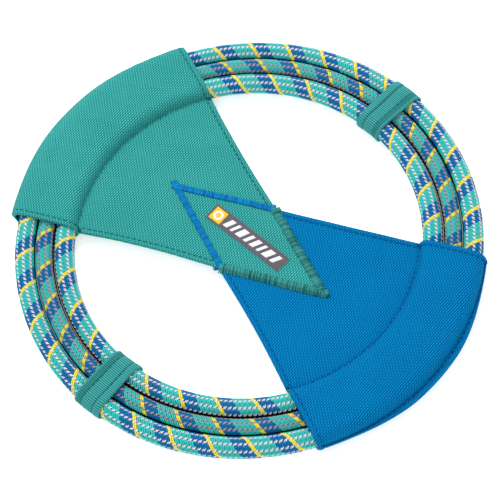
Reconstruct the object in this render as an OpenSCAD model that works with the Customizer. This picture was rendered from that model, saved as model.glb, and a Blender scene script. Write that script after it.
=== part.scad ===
// Flying ring: three rope rings side by side, held by two crossed fabric wings and two keeper bands.
// The wings lie along X, the green one at -X and the blue one at +X. The ring rests on z = 0.

/* [Ropes] */
// Outside diameter of the outer rope ring
ring_d = 236; // [220:1:250]
// Diameter of the outer rope and of the inner rope
rope_d = 10.5; // [9.5:0.1:11]
// Diameter of the slimmer rope between them
middle_rope_d = 9.4; // [8.5:0.1:10.5]
// Wall of the braided sheath round each rope's core
sheath_wall = 1.3; // [0.8:0.1:2]
// Length of the tape wrap that joins a rope's two ends
splice_length = 26; // [16:1:34]
// Thickness of that wrap
splice_wall = 0.3; // [0.2:0.05:0.5]

/* [Wings] */
// Thickness of one layer of the wing fabric
fabric = 0.6; // [0.5:0.05:0.7]
// Gap between the ropes and the channels that they run through
wing_gap = 0.3; // [0.2:0.05:0.4]
// Width of the folded rim along a wing's straight edges
rim_width = 2; // [1.5:0.1:2.4]
// How much thicker the folded rim is than one layer
rim_extra = 0.55; // [0.55:0.05:0.8]
// Angle from a wing's middle line to its straight edges
wing_angle = 23; // [18:0.5:27]
// How far a wing's point reaches past the ring's centre
apex_reach = 52; // [44:1:60]
// How far the green wing's seam lip stands out from the outer rope
green_lip_reach = 6.5; // [4:0.25:8]
// How far the blue wing's seam lip stands out from the outer rope
blue_lip_reach = 4.5; // [4:0.25:8]
// Diameter of the piping along the outer edge
piping_d = 2; // [1.6:0.1:2.2]

/* [Seams] */
// Diameter of the sewing thread
thread_d = 0.44; // [0.3:0.02:0.46]
// Length of one stitch on the surface
stitch_length = 2.1; // [1.6:0.1:2.1]
// Distance from one stitch to the next
stitch_pitch = 3; // [2.8:0.1:4]
// Width of the satin stitch round a wing's point
satin_width = 3; // [2:0.25:4]
// Height of the satin stitch above the fabric
satin_height = 0.5; // [0.3:0.05:0.6]

/* [Keeper bands] */
// Width of a band at the middle rope
band_width = 16; // [12:0.5:20]
// Width of the hem at each side of a band
hem_width = 3.6; // [2.5:0.1:5]
// Gap between a band and the ropes that it slides on
band_gap = 0.25; // [0.2:0.05:0.35]
// Thickness of one layer of a band
band_wall = 0.45; // [0.4:0.05:0.45]
// Angle from +X to the middle of the left band
left_band_angle = 86; // [80:1:100]
// Angle from +X to the middle of the right band
right_band_angle = -90; // [-100:1:-80]

/* [Label] */
// Length of the label
label_length = 49; // [40:1:52]
// Width of the label
label_width = 9.5; // [7:0.5:12]
// Thickness of the label
label_thick = 0.4; // [0.3:0.05:0.5]
// Turn of the label against the wings' middle line
label_turn = -1.5; // [-3:0.5:3]

/* [Hidden] */

green = [0.20, 0.62, 0.58];
blue = [0.00, 0.48, 0.75];
rope_r = rope_d / 2;
// Inside and outside of the channel's fabric round a rope, and the top of the folded rim.
// The rim is the tallest part, so it also sets the middle plane's height over the floor.
channel_r = rope_r + wing_gap;
skin_r = channel_r + fabric;
half_height = skin_r + rim_extra;
// Centre radii of the three rope rings
rope_gap = 0.05;
outer_c = ring_d / 2 - rope_r;
inner_c = outer_c - rope_d - middle_rope_d - 2 * rope_gap;
middle_c = (outer_c + inner_c) / 2;
// Where a wing's two panels meet at the inner rope, and the tip of its outer lip
seam_r = inner_c - channel_r;
green_lip_r = ring_d / 2 + green_lip_reach;
blue_lip_r = ring_d / 2 + blue_lip_reach;
// Height over the middle plane at which each wing's two web layers meet
green_web = fabric;
blue_web = -fabric;
butt_gap = 0.6;
// The two wings' edges cross at x = 0. Satin stitch stops short of it by this much, and the folded
// rims start where they are clear of the other wing's point.
waist_clear = 0.3;
rim_start = rim_width / 2 / sin(wing_angle) + waist_clear;
thread_clear = 0.08;
lift = thread_d / 2 + thread_clear;

// ---- rope rings ----

// A round tube bent into an arc of the ring, from angle a to angle b. core = 0 makes it solid.
module arc_rod(centre, r, core, a, b) {
    rotate([0, 0, a]) rotate_extrude(angle = b - a, $fn = 96) translate([centre, 0]) difference() {
        circle(r = r, $fn = 48);
        if (core > 0) circle(r = core, $fn = 48);
    }
}

// Half of the splice's length, and half of the gap between the rope's ends, as angles on the ring
function splice_half(centre) = splice_length / 2 / centre * 180 / PI;
function gap_half(centre) = butt_gap / 2 / centre * 180 / PI;

// The sheath is drawn in under the splice, by the thickness of the wrap
module sheath(centre, r, at) {
    s = splice_half(centre);
    g = gap_half(centre);
    translate([0, 0, half_height]) difference() {
        arc_rod(centre, r, r - sheath_wall, at + g, at + 360 - g);
        arc_rod(centre, r + 1, r - splice_wall, at - s, at + s);
    }
}

module core(centre, r, at) {
    g = gap_half(centre);
    translate([0, 0, half_height]) arc_rod(centre, r - sheath_wall, 0, at + g, at + 360 - g);
}

module splice(centre, r, at) {
    s = splice_half(centre);
    translate([0, 0, half_height]) arc_rod(centre, r, r - splice_wall, at - s, at + s);
}

outer_splice_at = 13;
middle_splice_at = 180;
inner_splice_at = -13;

module outer_rope_sheath() { color([0.17, 0.72, 0.68]) sheath(outer_c, rope_r, outer_splice_at); }
module outer_rope_core() { color([0.92, 0.92, 0.90]) core(outer_c, rope_r, outer_splice_at); }
module outer_rope_splice() { color([0.15, 0.15, 0.16]) splice(outer_c, rope_r, outer_splice_at); }
module middle_rope_sheath() { color([0.24, 0.62, 0.60]) sheath(middle_c, middle_rope_d / 2, middle_splice_at); }
module middle_rope_core() { color([0.92, 0.92, 0.90]) core(middle_c, middle_rope_d / 2, middle_splice_at); }
module middle_rope_splice() { color([0.15, 0.15, 0.16]) splice(middle_c, middle_rope_d / 2, middle_splice_at); }
module inner_rope_sheath() { color([0.17, 0.72, 0.68]) sheath(inner_c, rope_r, inner_splice_at); }
module inner_rope_core() { color([0.92, 0.92, 0.90]) core(inner_c, rope_r, inner_splice_at); }
module inner_rope_splice() { color([0.15, 0.15, 0.16]) splice(inner_c, rope_r, inner_splice_at); }

// ---- wings, drawn along +X ----

// The section round all three ropes: two half circles and the flat between them
module stadium(r) {
    union() {
        translate([inner_c, 0]) circle(r = r, $fn = 64);
        translate([outer_c, 0]) circle(r = r, $fn = 64);
        translate([inner_c, -r]) square([outer_c - inner_c, 2 * r]);
    }
}

// The half of a section that belongs to one panel. side is 1 for the top panel and -1 for the bottom
// one. The panels meet at height web on the inner side and at height 0 on the outer side.
module panel_side(side, web) {
    wide = 30;
    union() {
        translate([middle_c - wide, side > 0 ? web : web - wide]) square([wide, wide]);
        translate([middle_c, side > 0 ? 0 : -wide]) square([wide, wide]);
    }
}

// One panel's section round the ropes, with the lip and its piping. outer is the fabric's outside.
module channel_section(side, web, outer) {
    lip_r = web > 0 ? green_lip_r : blue_lip_r;
    lip_start = outer_c + channel_r + fabric / 2;
    piping_r = piping_d / 2;
    intersection() {
        union() {
            difference() {
                stadium(outer);
                stadium(channel_r);
            }
            translate([lip_start, -fabric]) square([lip_r - piping_r - lip_start, 2 * fabric]);
            translate([lip_r - piping_r, 0]) circle(r = piping_r, $fn = 32);
        }
        panel_side(side, web);
    }
}

// A whole ring of one panel, before it is cut to the wing's outline. layer is the fabric's thickness.
module panel_ring(side, web, layer) {
    overlap = fabric / 3;
    rotate([0, 0, -50]) rotate_extrude(angle = 100, $fn = 96) channel_section(side, web, channel_r + layer);
    translate([0, 0, side > 0 ? web : web - layer]) cylinder(r = seam_r + overlap, h = layer, $fn = 96);
}

// The wing's outline seen from above: two straight edges that meet at a point past the centre.
// inset moves the edges in. The outline starts at x = start.
module wing_fan(inset, start) {
    high = 20;
    far = 200;
    point = -apex_reach + inset / sin(wing_angle);
    slope = tan(wing_angle);
    translate([0, 0, -high]) linear_extrude(2 * high) intersection() {
        translate([point, 0]) polygon([[0, 0], [far, -far * slope], [far, far * slope]]);
        translate([start, -far]) square([far, 2 * far]);
    }
}

// A panel with its folded rim, which runs along the straight edges from the waist outwards
module wing_panel(side, web) {
    translate([0, 0, half_height]) union() {
        intersection() {
            wing_fan(0, -apex_reach);
            panel_ring(side, web, fabric);
        }
        intersection() {
            difference() {
                wing_fan(0, rim_start);
                wing_fan(rim_width, -apex_reach);
            }
            panel_ring(side, web, fabric + rim_extra);
        }
    }
}

module green_top_panel() { color(green) rotate([0, 0, 180]) wing_panel(1, green_web); }
module green_bottom_panel() { color(green) rotate([0, 0, 180]) wing_panel(-1, green_web); }
module blue_top_panel() { color(blue) wing_panel(1, blue_web); }
module blue_bottom_panel() { color(blue) wing_panel(-1, blue_web); }

// ---- stitches ----

// Height of a thread's centre over the middle plane, at a distance r from the ring's centre.
// flat is the height of the web's face.
function arch(d) = abs(d) < skin_r + lift ? sqrt((skin_r + lift) * (skin_r + lift) - d * d) : 0;
function thread_height(r, flat) =
    r < inner_c ? max(flat + lift, arch(inner_c - r))
    : r < outer_c ? skin_r + lift
    : max(fabric + lift, arch(r - outer_c));

// One straight stitch whose two ends are points
module stitch(p, q) {
    d = q - p;
    run = norm([d[0], d[1]]);
    translate(p) rotate([0, 90 - atan2(d[2], run), atan2(d[1], d[0])])
        cylinder(d = thread_d, h = norm(d), $fn = 16);
}

// A row of stitches beside a folded rim, side 1 on top and -1 underneath
module edge_row(side, flat, hand, lip_r) {
    along = [cos(wing_angle), hand * sin(wing_angle)];
    inward = [sin(wing_angle), -hand * cos(wing_angle)];
    margin = rim_width + lift;
    steepest = 1.3;
    first = apex_reach / cos(wing_angle) + stitch_pitch;
    last = first + lip_r;
    for (s = [first : stitch_pitch : last]) {
        p = [-apex_reach, 0] + s * along + margin * inward;
        q = p + stitch_length * along;
        hp = thread_height(norm(p), flat);
        hq = thread_height(norm(q), flat);
        if (norm(q) < lip_r - piping_d && abs(hp - hq) < steepest)
            stitch([p[0], p[1], half_height + side * hp], [q[0], q[1], half_height + side * hq]);
    }
}

// A row of stitches along an arc of the ring, at the same height all the way
module arc_row(r, height, half_angle) {
    step = stitch_pitch / r * 180 / PI;
    turn = stitch_length / r * 180 / PI;
    for (a = [-half_angle : step : half_angle - turn])
        stitch([r * cos(a), r * sin(a), height], [r * cos(a + turn), r * sin(a + turn), height]);
}

// Where a folded rim's inner edge stands on a circle of radius r, as an angle from the wing's middle
function mouth_angle(r) = wing_angle + asin((apex_reach * sin(wing_angle) - rim_width - lift) / r);

module edge_stitches(top, bottom, lip_r) {
    for (hand = [-1, 1]) {
        edge_row(1, top, hand, lip_r);
        edge_row(-1, bottom, hand, lip_r);
    }
}

module channel_stitches(top, bottom) {
    r = seam_r - fabric - lift;
    arc_row(r, half_height + top + lift, mouth_angle(r));
    arc_row(r, half_height - bottom - lift, mouth_angle(r));
}

module rim_stitches(lip_r) {
    r = lip_r - piping_d - lift;
    arc_row(r, half_height + fabric + lift, mouth_angle(r));
    arc_row(r, half_height - fabric - lift, mouth_angle(r));
}

// The V of satin stitch round a wing's point, on both faces
module point_satin() {
    slant = satin_width / sin(wing_angle);
    slope = tan(wing_angle);
    far = apex_reach - waist_clear;
    for (z = [half_height + 2 * fabric, half_height - 2 * fabric - satin_height])
        translate([-apex_reach, 0, z]) linear_extrude(satin_height) difference() {
            polygon([[0, 0], [far, -far * slope], [far, far * slope]]);
            translate([slant, 0]) polygon([[0, 0], [far, -far * slope], [far, far * slope]]);
        }
}

module green_edge_stitches() { color(green * 0.7) rotate([0, 0, 180]) edge_stitches(2 * fabric, 0, green_lip_r); }
module green_channel_stitches() { color(green * 0.7) rotate([0, 0, 180]) channel_stitches(2 * fabric, 0); }
module green_rim_stitches() { color(green * 0.7) rotate([0, 0, 180]) rim_stitches(green_lip_r); }
module green_point_satin() { color(green * 0.85) rotate([0, 0, 180]) point_satin(); }
module blue_edge_stitches() { color(blue * 0.7) edge_stitches(0, 2 * fabric, blue_lip_r); }
module blue_channel_stitches() { color(blue * 0.7) channel_stitches(0, 2 * fabric); }
module blue_rim_stitches() { color(blue * 0.7) rim_stitches(blue_lip_r); }
module blue_point_satin() { color(blue * 0.85) point_satin(); }

// ---- keeper bands, drawn about +X ----

band_half = band_width / 2 / middle_c * 180 / PI;
hem_turn = hem_width / middle_c * 180 / PI;

// One layer or two of fabric round the ropes, from angle -half to half
module band_arc(inner, outer, half) {
    rotate([0, 0, -half]) rotate_extrude(angle = 2 * half, $fn = 96) difference() {
        stadium(outer);
        stadium(inner);
    }
}

// Two layers in the hems, one layer between them
module keeper_band() {
    inner = rope_r + band_gap;
    translate([0, 0, half_height]) difference() {
        band_arc(inner, inner + 2 * band_wall, band_half);
        band_arc(inner + band_wall, inner + 3 * band_wall, band_half - hem_turn);
    }
}

// Stitches sit in the step beside each hem, on both faces
module band_stitches() {
    high = rope_r + band_gap + band_wall + lift;
    beside = band_half - hem_turn - lift / inner_c * 180 / PI;
    for (a = [-beside, beside], z = [half_height + high, half_height - high])
        for (r = [inner_c : stitch_pitch : outer_c - stitch_length])
            rotate([0, 0, a]) stitch([r, 0, z], [r + stitch_length, 0, z]);
}

module left_keeper_band() { color(green) rotate([0, 0, left_band_angle]) keeper_band(); }
module left_band_stitches() { color(green * 0.7) rotate([0, 0, left_band_angle]) band_stitches(); }
module right_keeper_band() { color(green) rotate([0, 0, right_band_angle]) keeper_band(); }
module right_band_stitches() { color(green * 0.7) rotate([0, 0, right_band_angle]) band_stitches(); }

// ---- label ----

module label() {
    color([0.28, 0.27, 0.29]) translate([0, 0, half_height + 2 * fabric]) rotate([0, 0, label_turn])
        translate([-label_length / 2, -label_width / 2, 0]) cube([label_length, label_width, label_thick]);
}

outer_rope_sheath();
outer_rope_core();
outer_rope_splice();
middle_rope_sheath();
middle_rope_core();
middle_rope_splice();
inner_rope_sheath();
inner_rope_core();
inner_rope_splice();
green_top_panel();
green_bottom_panel();
blue_top_panel();
blue_bottom_panel();
green_edge_stitches();
green_channel_stitches();
green_rim_stitches();
green_point_satin();
blue_edge_stitches();
blue_channel_stitches();
blue_rim_stitches();
blue_point_satin();
left_keeper_band();
left_band_stitches();
right_keeper_band();
right_band_stitches();
label();
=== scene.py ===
"""The flying ring's looks: braided ropes, fabric wings, sewing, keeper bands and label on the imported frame.

Shapes are worked out in millimetres, in the row's frame, and become metres when a piece is made. A wing is
worked out along +X and above the middle plane, then turned or mirrored to where it belongs.
"""

import math

import bmesh
import bpy
import numpy as np
from mathutils import Matrix, Vector


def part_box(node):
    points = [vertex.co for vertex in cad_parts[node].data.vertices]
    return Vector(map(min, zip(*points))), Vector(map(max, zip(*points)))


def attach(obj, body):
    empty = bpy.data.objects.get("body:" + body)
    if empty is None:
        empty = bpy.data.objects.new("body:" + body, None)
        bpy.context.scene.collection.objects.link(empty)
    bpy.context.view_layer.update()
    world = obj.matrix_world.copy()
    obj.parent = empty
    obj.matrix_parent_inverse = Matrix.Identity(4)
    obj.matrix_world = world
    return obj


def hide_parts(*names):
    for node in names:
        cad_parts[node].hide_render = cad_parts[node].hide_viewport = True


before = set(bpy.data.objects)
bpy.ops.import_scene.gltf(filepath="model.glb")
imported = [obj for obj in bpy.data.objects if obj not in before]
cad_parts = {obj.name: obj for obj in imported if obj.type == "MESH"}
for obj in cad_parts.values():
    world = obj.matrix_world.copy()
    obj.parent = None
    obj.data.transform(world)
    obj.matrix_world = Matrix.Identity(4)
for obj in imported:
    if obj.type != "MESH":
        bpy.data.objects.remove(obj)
scene = bpy.context.scene
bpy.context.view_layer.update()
MM = 0.001
TURN = 2 * math.pi


# ---- sizes, from the frame ----


def box_mm(node):
    """A CAD node's lowest and highest corners in millimetres."""
    low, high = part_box(node)
    return np.array(low) / MM, np.array(high) / MM


def reach(node):
    """How far a node reaches from the ring's axis, along X or Y."""
    low, high = box_mm(node)
    return max(high[0], high[1], -low[0], -low[1])


low, high = box_mm("outer_rope_sheath")
MID = (low[2] + high[2]) / 2
ROPE_R = (high[2] - low[2]) / 2
OUTER_C = reach("outer_rope_sheath") - ROPE_R
INNER_C = reach("inner_rope_sheath") - ROPE_R
low, high = box_mm("middle_rope_sheath")
MIDDLE_R = (high[2] - low[2]) / 2
MIDDLE_C = (OUTER_C + INNER_C) / 2

low, high = box_mm("blue_top_panel")
APEX = -low[0]
WING = math.atan2(high[1], APEX + math.sqrt(high[0] ** 2 - high[1] ** 2))
EDGE_D = APEX * math.sin(WING)

# EDGE_ROW and SEAM_ROW are how far stitches lie in from the straight edges and from the arc seam
FABRIC = 0.6
CHANNEL_R = ROPE_R + 0.3
SKIN_R = CHANNEL_R + FABRIC
RIM = 0.5
EDGE_ROW = 2.8
SEAM_ROW = 0.9
PIPING = 1.0
STITCH_PITCH = 3.0
FLOOR_GAP = 0.02


# ---- materials ----


def linear(colour):
    """The values that nodes take for a colour given in screen values from 0 to 255."""
    screen = [c / 255 for c in colour]
    return [((c + 0.055) / 1.055) ** 2.4 if c > 0.04 else c / 12.92 for c in screen] + [1.0]


class Nodes:
    """Shorthand for building one material's node tree."""

    def __init__(self, name):
        self.material = bpy.data.materials.new(name)
        self.material.use_nodes = True
        self.tree = self.material.node_tree
        self.shader = self.tree.nodes["Principled BSDF"]

    def add(self, kind, **inputs):
        """Adds a node. Its inputs are set by name or by number, as n0, n1 and so on."""
        node = self.tree.nodes.new(kind)
        for key, value in inputs.items():
            socket = node.inputs[int(key[1:]) if key[0] == "n" and key[1:].isdigit() else key]
            self.put(socket, value)
        return node

    def put(self, socket, value):
        """Links an output, or sets a plain value. A tuple is a colour in screen values from 0 to 255."""
        if isinstance(value, bpy.types.NodeSocket):
            self.tree.links.new(value, socket)
        else:
            socket.default_value = linear(value) if isinstance(value, tuple) else value

    def math(self, operation, a, b=0.0, c=0.0):
        node = self.add("ShaderNodeMath", n0=a, n1=b, n2=c)
        node.operation = operation
        return node.outputs[0]

    def line(self, value, slope, offset):
        return self.math("MULTIPLY_ADD", value, slope, offset)

    def wave(self, value, rate, kind="SINE"):
        return self.math(kind, self.math("MULTIPLY", value, rate))

    def away(self, value, middle):
        return self.math("ABSOLUTE", self.math("SUBTRACT", value, middle))

    def span(self, value, low, high, to_low=0.0, to_high=1.0):
        """Maps low..high to to_low..to_high, smoothly and clamped."""
        node = self.add("ShaderNodeMapRange")
        node.interpolation_type = "SMOOTHSTEP"
        for socket, number in zip(node.inputs[:5], (value, low, high, to_low, to_high)):
            self.put(socket, number)
        return node.outputs[0]

    def mix(self, share, a, b):
        node = self.tree.nodes.new("ShaderNodeMix")
        node.data_type = "RGBA"
        self.put(node.inputs[0], share)
        self.put(node.inputs[6], a)
        self.put(node.inputs[7], b)
        return node.outputs[2]

    def noise(self, scale, detail=2.0, stretch=(1, 1, 1)):
        """A noise's value. scale is per millimetre of the object."""
        place = self.add("ShaderNodeTexCoord").outputs["Object"]
        mapped = self.add("ShaderNodeMapping", Vector=place, Scale=[s / MM for s in stretch])
        texture = self.add("ShaderNodeTexNoise", Vector=mapped.outputs[0], Scale=scale, Detail=detail)
        return texture.outputs[0]

    def uv(self, name):
        """The two coordinates of a UV map."""
        node = self.tree.nodes.new("ShaderNodeUVMap")
        node.uv_map = name
        split = self.add("ShaderNodeSeparateXYZ", Vector=node.outputs[0])
        return split.outputs[0], split.outputs[1]

    def finish(self, colour, roughness, height, depth, specular, sheen=0.0):
        """Joins everything to the shader. depth is the height's reach in millimetres."""
        bump = self.add("ShaderNodeBump", Height=height, Distance=depth * MM, Strength=1.0)
        looks = {
            "Base Color": colour,
            "Roughness": roughness,
            "Normal": bump.outputs[0],
            "Sheen Weight": sheen,
            "Sheen Roughness": 0.45,
            "Specular IOR Level": specular,
        }
        for name, value in looks.items():
            self.put(self.shader.inputs[name], value)
        return self.material


def woven_cloth(name, base, dark, light, gloss, row=1.11, column=0.93):
    """Woven pack cloth. row and column are its thread spacings in millimetres. Its rows lie across the
    wing, and its crossings line up on one slant more than on the other."""
    m = Nodes(name)
    u, v = m.uv("Cloth")
    strayed = m.line(m.noise(0.25), 0.5, u)
    wave = 0.0
    for share, across, along in ((0.9, 1.0, 0.0), (0.38, 0.5, 0.5), (0.12, 0.5, -0.5)):
        turns = m.line(strayed, across / row, m.math("MULTIPLY", v, along / column))
        wave = m.line(m.wave(turns, TURN, "COSINE"), share, wave)
    fibres = m.noise(2.2, 2.0, (1, 3, 1))
    tone = m.line(m.noise(0.05, 3.0), 0.25, m.line(fibres, 0.5, -0.36))
    # The weave's hollows take the dark colour as painted shade, and its thread tops the light one as painted
    # highlight, with random tone
    shade = m.mix(m.span(wave, -0.9, 0.1), dark, base)
    colour = m.mix(m.math("ADD", m.span(wave, 0.1, 1.1, 0.0, 0.8), tone), shade, light)
    height = m.line(fibres, 0.15, m.span(wave, -0.9, 1.1))
    return m.finish(colour, m.span(fibres, 0.2, 0.8, 0.7, 0.9), height, 0.22, gloss)


def twisted_thread(name, base, dark, turns=1.2, crevice_shade=None):
    """Thread or yarn. The Cloth map holds the length along it in millimetres and the turn round it. A yarn
    also has a Depth map, and takes its crevice colour, a painted shade, on its sides and where it dives under
    another."""
    m = Nodes(name)
    along, around = m.uv("Cloth")
    slant = m.line(along, turns, m.math("MULTIPLY", around, 3.0))
    ply = m.math("ABSOLUTE", m.wave(slant, math.pi))
    fibres = m.noise(1.6, 3.0)
    # The grooves between plies take the dark colour as painted shade, with random tone from the fibres
    shade = m.math("ADD", m.span(ply, 0.0, 0.45, 0.35, 0.0), m.span(fibres, 0.35, 0.75, 0.0, 0.35))
    colour = m.mix(shade, base, dark)
    if crevice_shade:
        # Painted shade on the yarn's sides and where it dives under another yarn
        aside = m.away(around, YARN_TOP)
        sunk, _ = m.uv("Depth")
        hidden = m.math("ADD", m.span(aside, 0.12, 0.32, 0.0, 0.45), m.span(sunk, 0.4, 1.4, 0.0, 1.0))
        colour = m.mix(m.math("MINIMUM", hidden, 0.95), colour, crevice_shade)
        # Painted shadow in the dark line where two ropes press together
        colour = m.mix(m.span(sunk, 1.0, 1.4, 0.0, 0.97), colour, CONTACT_SHADOW)
    roughness = m.span(fibres, 0.3, 0.7, 0.55, 0.75)
    return m.finish(colour, roughness, m.line(fibres, 0.4, ply), 0.05, 0.12)


def grosgrain(name, base, dark, light, rib=1.0, thread=0.8):
    """Ribbed tape. The Cloth map runs along the tape, then across it. Its folds across are shaded."""
    m = Nodes(name)
    along, across = m.uv("Cloth")
    ribs = m.wave(along, TURN / rib)
    threads = m.wave(across, TURN / thread)
    height = m.line(ribs, 0.36, m.line(threads, 0.16, 0.5))
    grain = m.noise(1.4, 3.0)
    # The ribs' hollows take the dark colour as painted shade, and their tops the light one as painted
    # highlight
    shade = m.mix(m.line(grain, 0.4, m.span(height, 0.15, 0.6, -0.1, 0.8)), dark, base)
    colour = m.mix(m.span(height, 0.55, 1.0, 0.0, 0.6), shade, light)
    for middle, half, share in TAPE_FOLDS:
        colour = m.mix(m.span(m.away(across, middle), half, half + 0.4, share, 0.0), colour, dark)
    return m.finish(colour, m.span(grain, 0.3, 0.7, 0.6, 0.8), height, 0.16, 0.1)


def printed_cloth(name, base, dark, pitch=0.22):
    """The label's fine smooth weave."""
    m = Nodes(name)
    u, v = m.uv("Cloth")
    threads = m.math("MULTIPLY", m.wave(u, math.pi / pitch), m.wave(v, math.pi / pitch))
    height = m.span(threads, -0.6, 0.6)
    grain = m.noise(0.8, 3.0)
    colour = m.mix(m.line(grain, 0.5, m.math("MULTIPLY", height, 0.2)), base, dark)
    return m.finish(colour, m.span(grain, 0.3, 0.7, 0.45, 0.62), height, 0.03, 0.4, 0.05)


# The turn round a yarn that faces out of the rope, and the painted shadow colour that yarns take in the dark
# line where two ropes press together
YARN_TOP = 1 / 3
CONTACT_SHADOW = (0, 16, 22)
# The tape's shaded folds, each by its place across the tape, half width and share of the dark colour
TAPE_FOLDS = ((2.9, 1.3, 0.5), (4.4, 0.1, 0.4), (11.1, 0.15, 0.7))
green_cloth = woven_cloth("green_cloth", (34, 142, 138), (4, 100, 98), (88, 186, 182), 0.08)
blue_cloth = woven_cloth("blue_cloth", (0, 106, 166), (0, 74, 124), (4, 144, 200), 0.03)
band_cloth = grosgrain("band_cloth", (46, 146, 144), (2, 82, 82), (108, 196, 190))
# Each thread's colour, and the dark one for the painted shade between its plies. The darkest green and blue
# are darkened as painted shade of the stitch valleys: green on the edge and band stitches, blue on the edge
# and rim stitches.
thread_colours = {
    "green": ((66, 155, 150), (34, 116, 112)),
    "shaded_green": ((24, 106, 102), (6, 76, 74)),
    "stitch_shade_green": ((14, 88, 86), (0, 58, 58)),
    "green_seam": ((8, 118, 116), (0, 92, 92)),
    "blue": ((0, 140, 196), (0, 112, 172)),
    "shaded_blue": ((0, 106, 176), (0, 80, 148)),
    "stitch_shade_blue": ((0, 74, 134), (0, 50, 98)),
    "blue_seam": ((0, 96, 158), (0, 76, 134)),
}
threads = {name: twisted_thread(f"{name}_thread", *colours) for name, colours in thread_colours.items()}
# Each yarn's colour, its dark one for the painted shade between plies, and its crevice colour, the painted
# shade on its sides and where it dives
yarn_colours = {
    "turquoise": ((58, 194, 188), (24, 152, 150), (0, 74, 78)),
    "blue": ((0, 112, 170), (0, 82, 134), (0, 34, 66)),
    "yellow": ((236, 222, 66), (200, 184, 44), (110, 96, 20)),
    "white": ((244, 238, 246), (206, 196, 212), (66, 88, 96)),
    "pale_pink": ((222, 206, 216), (176, 162, 174), (66, 80, 88)),
    "grey": ((172, 166, 176), (128, 124, 134), (40, 52, 60)),
    "pink_grey": ((168, 152, 162), (128, 114, 126), (40, 50, 58)),
    # Painted shade for the dark tube inside the braid
    "shadow": ((2, 36, 46), (0, 20, 28), None),
}
yarns = {
    name: twisted_thread(f"yarn_{name}", base, dark, 0.9, crevice_shade)
    for name, (base, dark, crevice_shade) in yarn_colours.items()
}
core_fibre = twisted_thread("core_fibre", (228, 226, 216), (182, 178, 166), 0.4)
splice_tape = printed_cloth("splice_tape", (44, 44, 48), (22, 22, 25), 0.5)
label_grey = printed_cloth("label_grey", (78, 76, 84), (58, 56, 64))
label_amber = printed_cloth("label_amber", (255, 190, 8), (232, 160, 0))
label_edge = printed_cloth("label_edge", (108, 106, 112), (86, 84, 90))
label_white = printed_cloth("label_white", (244, 240, 248), (214, 210, 222))


# ---- meshes ----


def in_scene(name, data):
    """A new object, in the scene."""
    made = bpy.data.objects.new(name, data)
    scene.collection.objects.link(made)
    return made


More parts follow.
